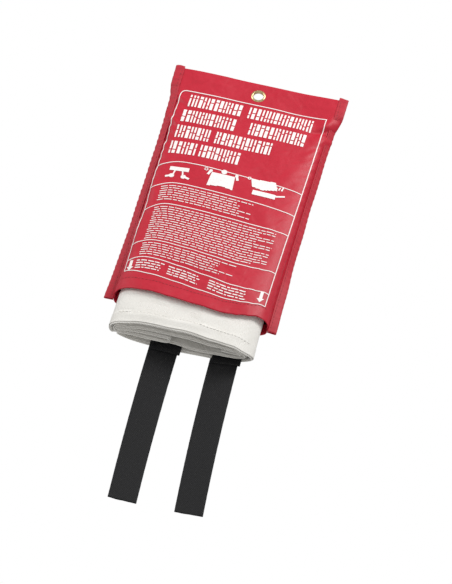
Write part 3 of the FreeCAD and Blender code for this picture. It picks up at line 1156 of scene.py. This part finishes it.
for upper, lower, reach, ragged in small_blocks:
    top_rule = rule_heights[upper]
    gap = top_rule[1] - rule_heights[lower][1]
    rows = int((gap - 4.4) / ROW_PITCH)
    start = 27.5 if upper == 0 else 4.0
    for k in range(rows):
        drop = start + k * ROW_PITCH
        if drop > gap - 3.0:
            break
        short = ink_random.uniform(4, 22) if k % 3 == 2 or ragged and k % 2 else 0.0
        dash_row(-66 + 0.6 * (k % 2), reach - short, top_rule, drop)

for u0, u1 in ((-66, -36), (-32, 4), (12, 54)):
    for k in range(4):
        dash_row(u0, u1 - ink_random.uniform(0, 6), rule_heights[4], 4.6 + k * 3.3, 1.3)
print("small rows", len(ink_faces), "faces")

# %% [markdown]
# Three small pictures show how such a blanket is used: pull both straps, hold it up before you, and lay
# it over a burning pan. They are drawn here from plain shapes. Two solid arrows point to the straps.

# %% Pictures and arrows


def picture_pull(u, z):
    """A pouch with two hands pulling the straps down."""
    ink_bar(u - 10, u + 10, z - 1, z + 4)
    for side in (-1, 1):
        ink_stroke([(u + side * 4, z - 1), (u + side * 5, z - 6)], 1.6)
        ink_disc(u + side * 6.2, z - 8, 2.8, 0.9)
        ink_stroke([(u + side * 7, z - 8), (u + side * 12.5, z - 10)], 2.4)


def picture_hold(u, z):
    """A figure that holds a blanket up in front."""
    ink_disc(u, z + 9.5, 3.0)
    ink_outline([(u - 12, z + 6), (u + 12, z + 6), (u + 13.5, z - 12), (u + 2, z - 10), (u - 13.5, z - 12)])
    for side in (-1, 1):
        ink_stroke([(u + side * 13.6, z + 7), (u + side * 15.5, z + 2)], 2.6)
        ink_disc(u + side * 13.4, z + 7.5, 1.8)


def picture_pan(u, z):
    """A pan under a blanket that comes down over it."""
    ink_outline([(u - 17, z + 9), (u + 8, z + 11), (u + 12, z + 1), (u - 3, z - 3), (u - 14, z - 1)])
    ink_bar(u - 12, u + 12, z - 11, z - 5)
    ink_stroke([(u + 12, z - 7), (u + 21, z - 4)], 2.0)
    for k in (-1, 0, 1):
        ink_stroke([(u + 13 + 3 * k, z + 2), (u + 14 + 3 * k, z + 6 + k)], 1.4)


def ink_ring(u, z, radius, width):
    """A small open ring."""
    turns = np.linspace(0, 2 * math.pi, 15)
    ink_stroke([(u + radius * math.cos(t), z + radius * math.sin(t)) for t in turns], width)


def ink_arrow(u, z, long):
    """A solid arrow that points down."""
    ink_bar(u - 1.6, u + 1.6, z - long + 5, z)
    ink_outline([(u - 3.8, z - long + 5.4), (u + 3.8, z - long + 5.4), (u, z - long)])


picture_pull(-53, -120.5)
picture_hold(-8, -121.5)
picture_pan(37.5, -122)
ink_ring(-26.5, -113, 1.8, 0.9)
ink_ring(18.5, -112.5, 1.8, 0.9)
ink_arrow(-71.5, -248.5, 14.0)
ink_arrow(67.0, -253.0, 14.5)
white_print = object_from_mesh("white_print", ink_points, ink_faces, [(p[0], p[2]) for p in ink_points])


def face_outwards(obj):
    """Turn every face of a thin open piece to the front."""
    for index in [p.index for p in obj.data.polygons if p.normal.y > 0]:
        obj.data.polygons[index].flip()


face_outwards(white_print)
print(white_print.name, len(ink_faces), "faces")

# %% [markdown]
# Now the finishes. Cloth shows its weave, its coating and the light on its creases, metal shows the
# light round it, and ink lies a little flatter than cloth. Each material below is built from nodes that
# read the piece's own flat measure, its UV map in metres, or its place on the object.

# %% Helpers for finishes


def colour(hex_code):
    """A linear colour from an sRGB hex code."""
    values = [int(hex_code[i:i + 2], 16) / 255 for i in (1, 3, 5)]
    linear = [v / 12.92 if v <= 0.04045 else ((v + 0.055) / 1.055) ** 2.4 for v in values]
    return (*linear, 1.0)


def add(tree, kind, links=(), **settings):
    """Add a node. Settings are properties or sockets, and links are (socket, node, output) lists."""
    node = tree.nodes.new(kind)
    for name, value in settings.items():
        if hasattr(node, name):
            setattr(node, name, value)
        else:
            node.inputs[name.replace("_", " ")].default_value = value
    for socket, source, output in links:
        tree.links.new(source.outputs[output], node.inputs[socket])
    return node


def new_material(name, **surface):
    """A named material and its tree, with constants set on the shader's own sockets."""
    material = bpy.data.materials.new(name)
    material.use_nodes = True
    tree = material.node_tree
    shader = tree.nodes["Principled BSDF"]
    for socket, value in surface.items():
        shader.inputs[socket.replace("_", " ")].default_value = value
    return material, tree, shader


def bump(tree, source, output, strength, distance, under=None):
    """A bump node fed by a value, on top of another bump where one is given."""
    links = [("Height", source, output)]
    if under:
        links.append(("Normal", under, 0))
    return add(tree, "ShaderNodeBump", links, Strength=strength, Distance=distance)


def connect(tree, shader, tone, bumps, shine=None):
    """Feed a shader its colour, its bumps and, where given, its roughness."""
    tree.links.new(tone.outputs["Color"], shader.inputs["Base Color"])
    if shine:
        tree.links.new(shine.outputs["Result"], shader.inputs["Roughness"])
    tree.links.new(bumps.outputs["Normal"], shader.inputs["Normal"])


def give(obj, material):
    """Dress a piece in one material."""
    obj.data.materials.clear()
    obj.data.materials.append(material)


def ramp(tree, source, output, stops):
    """A colour ramp node fed by a value, with (place, hex) stops."""
    node = add(tree, "ShaderNodeValToRGB", [(0, source, output)])
    while len(node.color_ramp.elements) < len(stops):
        node.color_ramp.elements.new(0.5)
    for element, (place, hex_code) in zip(node.color_ramp.elements, stops):
        element.position = place
        element.color = colour(hex_code)
    return node


def weave_height(tree, space, across, down):
    """Plain weave: two crossed rows of round threads, each as wide as its spacing in metres."""
    parts = []
    for direction, pitch in (("X", across), ("Y", down)):
        wave = add(tree, "ShaderNodeTexWave", [("Vector", space, "UV")], bands_direction=direction)
        wave.inputs["Scale"].default_value = WAVE_STEP / pitch
        parts.append(wave)
    links = [(0, parts[0], "Fac"), (1, parts[1], "Fac")]
    return add(tree, "ShaderNodeMath", links, operation="MAXIMUM")


# A wave texture of scale 1 repeats every 2 pi / 20 of a unit.
WAVE_STEP = 2 * math.pi / 20

# %% [markdown]
# The pouch is woven polyester coated with soft PVC. The coating fills the weave, so it shows only as a
# fine grain, and gives a broad, soft gloss. Handling leaves faint paler and deeper patches in the red.

# %% Coated cloth


def coated_cloth():
    """Red PVC-coated woven polyester: even red, soft broad gloss, fine grain, faint patches."""
    material, tree, shader = new_material(
        "red_pvc_coated_polyester", IOR=1.5, Specular_IOR_Level=0.36, Coat_Weight=0.06, Coat_Roughness=0.35
    )
    space = add(tree, "ShaderNodeTexCoord")
    # Patches about 45 mm across, and mottle about 6 mm across.
    patches = add(tree, "ShaderNodeTexNoise", [("Vector", space, "UV")], Scale=22.0, Detail=3.0)
    mottle = add(tree, "ShaderNodeTexNoise", [("Vector", space, "UV")], Scale=165.0, Detail=5.0)
    both = add(tree, "ShaderNodeMath", [(0, patches, "Fac"), (1, mottle, "Fac")], operation="MULTIPLY")
    tone = ramp(tree, both, 0, [(0.10, "#B9162D"), (0.24, "#BF1A31"), (0.42, "#C42036")])
    # Threads of such cloth are 0.5 mm apart. They are drawn 1.1 mm apart, because finer ones do not show.
    weave = weave_height(tree, space, 0.0011, 0.0011)
    grain = bump(tree, weave, 0, 0.10, 0.0002)
    # Soft dents from handling, about 16 mm across.
    dents = add(tree, "ShaderNodeTexNoise", [("Vector", space, "UV")], Scale=62.0, Detail=2.0, Distortion=0.8)
    soft = bump(tree, dents, "Fac", 0.45, 0.0022, grain)
    bumps = bump(tree, mottle, "Fac", 0.16, 0.0006, soft)
    fine = add(tree, "ShaderNodeTexNoise", [("Vector", space, "UV")], Scale=900.0, Detail=2.0)
    shine = add(tree, "ShaderNodeMapRange", [("Value", fine, "Fac")], From_Min=0.3, From_Max=0.7,
                To_Min=0.44, To_Max=0.60)
    connect(tree, shader, tone, bumps, shine)
    return material


pouch_cloth = coated_cloth()
for obj in (front_cloth, back_cloth):
    give(obj, pouch_cloth)
print("coated cloth on", front_cloth.name, "and", back_cloth.name)

# %% [markdown]
# The edges are bound with narrow woven tape in the same red. A tape's cross threads lie close and thick,
# so fine ribs run across it. The thread is a shade deeper and is twisted from two plies.

# %% Binding tape and red thread


def ribbed_tape():
    """Red woven polyester tape: ribs across the width, a little more sheen than the cloth."""
    material, tree, shader = new_material(
        "red_woven_binding_tape", Roughness=0.62, IOR=1.5, Sheen_Weight=0.06, Sheen_Roughness=0.4
    )
    space = add(tree, "ShaderNodeTexCoord")
    # Ribs of the tape are 0.8 mm apart. They are drawn 1.4 mm apart, because finer ones do not show.
    ribs = add(tree, "ShaderNodeTexWave", [("Vector", space, "UV")], bands_direction="Y",
               Scale=WAVE_STEP / 0.0014, Distortion=0.6, Detail=1.0)
    patches = add(tree, "ShaderNodeTexNoise", [("Vector", space, "UV")], Scale=90.0, Detail=4.0)
    both = add(tree, "ShaderNodeMath", [(0, ribs, "Fac"), (1, patches, "Fac")], operation="MULTIPLY")
    tone = ramp(tree, both, 0, [(0.05, "#AA1529"), (0.5, "#CA2338")])
    bumps = bump(tree, ribs, "Fac", 0.30, 0.0003)
    connect(tree, shader, tone, bumps)
    return material


def sewing_thread(name, dark, light, roughness):
    """Spun sewing thread: slanting plies a few tenths of a millimetre apart."""
    material, tree, shader = new_material(name, Roughness=roughness, IOR=1.5, Sheen_Weight=0.3)
    space = add(tree, "ShaderNodeTexCoord")
    slant = add(tree, "ShaderNodeMapping", [("Vector", space, "Object")], Rotation=(0.0, 0.6, 0.5))
    # The thread is twisted every 0.9 mm or so.
    plies = add(tree, "ShaderNodeTexWave", [("Vector", slant, 0)], bands_direction="DIAGONAL",
                Scale=WAVE_STEP / 0.0009, Distortion=0.4)
    tone = ramp(tree, plies, "Fac", [(0.2, dark), (0.8, light)])
    bumps = bump(tree, plies, "Fac", 0.4, 0.0001)
    connect(tree, shader, tone, bumps)
    return material


binding_tape = ribbed_tape()
red_thread = sewing_thread("red_spun_polyester_thread", "#8A0F20", "#B01A2E", 0.6)
for side in (-1, 1):
    give(tapes[side], binding_tape)
    give(seam_threads[side], red_thread)
for obj in (front_mouth_thread, back_mouth_thread):
    give(obj, red_thread)
print("tape on", [tapes[side].name for side in (-1, 1)])

# %% [markdown]
# Screen ink lies thick and matt. It is a warm white, thin enough in spots for the red to tint it.

# %% White ink


def screen_ink():
    """White plastisol screen ink: matt, a little uneven, warmed by the red below."""
    material, tree, shader = new_material("white_screen_printed_ink", Roughness=0.55, IOR=1.5)
    space = add(tree, "ShaderNodeTexCoord")
    # Thin spots about 2 mm across.
    spots = add(tree, "ShaderNodeTexNoise", [("Vector", space, "Object")], Scale=500.0, Detail=3.0)
    tone = ramp(tree, spots, "Fac", [(0.30, "#F2E2E0"), (0.45, "#F8EFEC"), (0.7, "#FBF7F4")])
    bumps = bump(tree, spots, "Fac", 0.1, 0.0001)
    connect(tree, shader, tone, bumps)
    return material


white_ink = screen_ink()
give(white_print, white_ink)
print("ink on", white_print.name)

# %% [markdown]
# The eyelet is pressed brass with a thin lacquer: pale gold, bright on the rolled rim, with faint rings
# and dull spots left by the press.

# %% Brass


def pressed_brass():
    """Pressed brass: pale gold metal, bright but slightly brushed by the die."""
    material, tree, shader = new_material("pressed_brass", Metallic=1.0)
    space = add(tree, "ShaderNodeTexCoord")
    # Dull spots about 1.5 mm across.
    spots = add(tree, "ShaderNodeTexNoise", [("Vector", space, "Object")], Scale=650.0, Detail=4.0)
    tone = ramp(tree, spots, "Fac", [(0.35, "#CDB27A"), (0.6, "#E6D3A3")])
    shine = add(tree, "ShaderNodeMapRange", [("Value", spots, "Fac")], From_Min=0.35, From_Max=0.65,
                To_Min=0.24, To_Max=0.40)
    bumps = bump(tree, spots, "Fac", 0.08, 0.0001)
    connect(tree, shader, tone, bumps, shine)
    return material


brass = pressed_brass()
for obj in (eyelet_barrel, eyelet_washer):
    give(obj, brass)
print("brass on", eyelet_barrel.name)

# %% [markdown]
# Glass-fibre cloth is off-white with a greyish cast and a satin weave: long floats slant across it, and
# it has a dry, silky surface.

# %% Glass cloth


def glass_cloth():
    """Glass-fibre satin: off-white, dry sheen, slanting floats, faint smudges from handling."""
    material, tree, shader = new_material(
        "glass_fibre_satin_cloth", Roughness=0.74, IOR=1.5, Sheen_Weight=0.2, Sheen_Roughness=0.5
    )
    space = add(tree, "ShaderNodeTexCoord")
    # Floats of this cloth are 0.5 mm apart. They are drawn 1.3 mm apart, because finer ones do not show.
    slant = add(tree, "ShaderNodeMapping", [("Vector", space, "UV")], Rotation=(0.0, 0.0, 1.1))
    floats = add(tree, "ShaderNodeTexWave", [("Vector", slant, 0)], bands_direction="X",
                 Scale=WAVE_STEP / 0.0013, Distortion=0.5, Detail=1.0)
    smudges = add(tree, "ShaderNodeTexNoise", [("Vector", space, "UV")], Scale=34.0, Detail=4.0)
    tone = ramp(tree, smudges, "Fac", [(0.30, "#ECEAE4"), (0.5, "#F1EFEA"), (0.7, "#F4F2ED")])
    thread_tone = ramp(tree, floats, "Fac", [(0.0, "#E6E2DA"), (0.5, "#FFFFFF")])
    mixed = add(tree, "ShaderNodeMix", data_type="RGBA", blend_type="MULTIPLY")
    mixed.inputs[0].default_value = 0.7
    tree.links.new(tone.outputs["Color"], mixed.inputs[6])
    tree.links.new(thread_tone.outputs["Color"], mixed.inputs[7])
    # Threads along the cloth are 0.6 mm apart. They are drawn 1.6 mm apart for the same reason.
    weave = weave_height(tree, space, 0.0016, 0.0016)
    ridges = bump(tree, weave, 0, 0.45, 0.0004)
    bumps = bump(tree, floats, "Fac", 0.15, 0.0003, ridges)
    tree.links.new(mixed.outputs[2], shader.inputs["Base Color"])
    tree.links.new(bumps.outputs["Normal"], shader.inputs["Normal"])
    return material


white_cloth = glass_cloth()
white_thread = sewing_thread("white_spun_glass_thread", "#E9E6DF", "#FBFAF6", 0.6)
give(blanket, white_cloth)
give(hem_thread, white_thread)
print("glass cloth on", blanket.name)

# %% [markdown]
# The straps are nylon webbing in a twill weave. Its two slanting rows meet in fine points, and each
# crossing catches a speck of light, so the black reads as a dark grey full of flecks.

# %% Webbing


def twill_webbing():
    """Black nylon twill webbing: matt dark grey with slanting flecks, painted highlights where the weave
    crosses.
    """
    material, tree, shader = new_material(
        "black_nylon_twill_webbing", Roughness=0.72, IOR=1.53,
        Specular_IOR_Level=0.3, Sheen_Weight=0.04, Sheen_Roughness=0.4
    )
    space = add(tree, "ShaderNodeTexCoord")
    # Slanting ribs 1.6 mm apart and threads 1.2 mm apart, about as coarse as such webbing's own.
    slant = add(tree, "ShaderNodeMapping", [("Vector", space, "UV")], Rotation=(0.0, 0.0, 0.75))
    ribs = add(tree, "ShaderNodeTexWave", [("Vector", slant, 0)], bands_direction="X",
               Scale=WAVE_STEP / 0.0016)
    cross = add(tree, "ShaderNodeTexWave", [("Vector", space, "UV")], bands_direction="Y",
                Scale=WAVE_STEP / 0.0012, Distortion=0.3)
    both = add(tree, "ShaderNodeMath", [(0, ribs, "Fac"), (1, cross, "Fac")], operation="MULTIPLY")
    glint_noise = add(tree, "ShaderNodeTexNoise", [("Vector", space, "UV")], Scale=800.0, Detail=3.0)
    painted_glints = add(tree, "ShaderNodeMath", [(0, both, 0), (1, glint_noise, "Fac")], operation="MULTIPLY")
    # The lighter flecks where the slanting ribs cross the threads are painted highlights: light caught at the
    # crossings, painted into the colour.
    tone = ramp(tree, painted_glints, 0, [(0.02, "#070708"), (0.22, "#121214"), (0.5, "#343437")])
    bumps = bump(tree, both, 0, 0.5, 0.0004)
    connect(tree, shader, tone, bumps)
    return material


black_webbing = twill_webbing()
black_thread = sewing_thread("black_bonded_nylon_thread", "#0E0E10", "#2A2A2E", 0.5)
for strap, (obj, start, end) in straps.items():
    give(obj, black_webbing)
    give(box_threads[strap], black_thread)
print("webbing on", [obj.name for obj, start, end in straps.values()])

# %% [markdown]
# Each listed piece now stands for its imported nodes and moves with its body. The straps stand for
# their imported nodes.

# %% Bodies
stands_for = [
    (front_cloth, "pouch", "pouch_cloth", ["front_panel"]),
    (back_cloth, "pouch", "pouch_cloth", ["back_panel"]),
    (tapes[-1], "pouch", "binding_tape", ["left_edge_binding"]),
    (tapes[1], "pouch", "binding_tape", ["right_edge_binding"]),
    (seam_threads[-1], "pouch", "red_thread", ["left_binding_stitching"]),
    (seam_threads[1], "pouch", "red_thread", ["right_binding_stitching"]),
    (front_mouth_thread, "pouch", "red_thread", ["front_mouth_stitching"]),
    (back_mouth_thread, "pouch", "red_thread", ["back_mouth_stitching"]),
    (eyelet_barrel, "pouch", "eyelet_brass", ["eyelet_barrel"]),
    (eyelet_washer, "pouch", "eyelet_brass", ["eyelet_washer"]),
    (white_print, "pouch", "pouch_cloth", []),
    (blanket, "blanket", "glass_cloth", ["folded_blanket"]),
    (hem_thread, "blanket", "white_thread", ["blanket_hem_stitching"]),
    (box_threads["left"], "blanket", "black_thread", ["left_strap_box_stitching"]),
    (box_threads["right"], "blanket", "black_thread", ["right_strap_box_stitching"]),
]
for piece, body, slot_name, nodes in stands_for:
    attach(piece, body)
    if nodes:
        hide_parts(*nodes)

for strap, (obj, start, end) in straps.items():
    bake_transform(obj)
    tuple(start)
    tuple(end)
    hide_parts(strap + "_strap", strap + "_strap_sewn_end")

print("pieces", len(stands_for) + len(straps))

# %% [markdown]
# The object hangs on a hook, so the pale floor is well below it. The light is soft and plain: a white
# surround, a large lamp from the upper right in front, a weaker one from the left, and one behind. The
# surround is shown to the camera at full white and lights the object with less than half of that.

# %% Floor, light and camera
bpy.ops.object.select_all(action="DESELECT")
bpy.ops.mesh.primitive_plane_add(size=6.0, location=(0.0, 0.0, -1.45))
floor = bpy.context.object
floor.name = "studio_floor"
floor_material, floor_tree, floor_shader = new_material("pale_painted_floor", Roughness=0.8)
floor_space = add(floor_tree, "ShaderNodeTexCoord")
floor_noise = add(floor_tree, "ShaderNodeTexNoise", [("Vector", floor_space, "Object")],
                  Scale=3.0, Detail=2.0)
floor_tone = ramp(floor_tree, floor_noise, "Fac", [(0.3, "#D0D0D0"), (0.7, "#D8D8D8")])
floor_tree.links.new(floor_tone.outputs["Color"], floor_shader.inputs["Base Color"])
give(floor, floor_material)

world = bpy.data.worlds.new("white_surround")
world.use_nodes = True
world_tree = world.node_tree
shown = add(world_tree, "ShaderNodeLightPath")
strength = add(world_tree, "ShaderNodeMapRange", [("Value", shown, "Is Camera Ray")],
               To_Min=0.44, To_Max=1.0)
background = world_tree.nodes["Background"]
background.inputs["Color"].default_value = (1.0, 1.0, 1.0, 1.0)
world_tree.links.new(strength.outputs["Result"], background.inputs["Strength"])
bpy.context.scene.world = world
bpy.context.scene.view_settings.view_transform = "Standard"

aim = Vector((0.028, 0.0, -0.2487))
VIEW_SIZE = 0.591
VIEW_DISTANCE = 1.4
LAMP_SIZE = 0.8


def soft_lamp(name, place, power):
    """A square area lamp that faces the object."""
    data = bpy.data.lights.new(name, "AREA")
    data.shape = "SQUARE"
    data.size = LAMP_SIZE
    data.energy = power
    lamp = bpy.data.objects.new(name, data)
    lamp.location = place
    lamp.rotation_euler = (aim - Vector(place)).to_track_quat("-Z", "Y").to_euler()
    bpy.context.scene.collection.objects.link(lamp)


soft_lamp("key_lamp", (0.95, -1.25, 1.0), 28.0)
soft_lamp("side_lamp", (-1.5, -1.0, 0.2), 13.0)
soft_lamp("rear_lamp", (-0.6, 1.8, 0.5), 14.0)

camera_data = bpy.data.cameras.new("main_camera")
camera_data.type = "ORTHO"
camera_data.ortho_scale = VIEW_SIZE
camera_data.clip_end = 20.0
camera = bpy.data.objects.new("main_camera", camera_data)
towards = Vector((0.12786, -0.79814, -0.58875)).normalized()
rightwards = Vector((0.9702, -0.02255, 0.24127)).normalized()
upwards = towards.cross(rightwards).normalized()
turn = Matrix((rightwards, upwards, towards)).transposed().to_4x4()
camera.matrix_world = Matrix.Translation(aim + towards * VIEW_DISTANCE) @ turn
bpy.context.scene.collection.objects.link(camera)
bpy.context.scene.camera = camera
print("camera at", [round(x, 3) for x in camera.location])
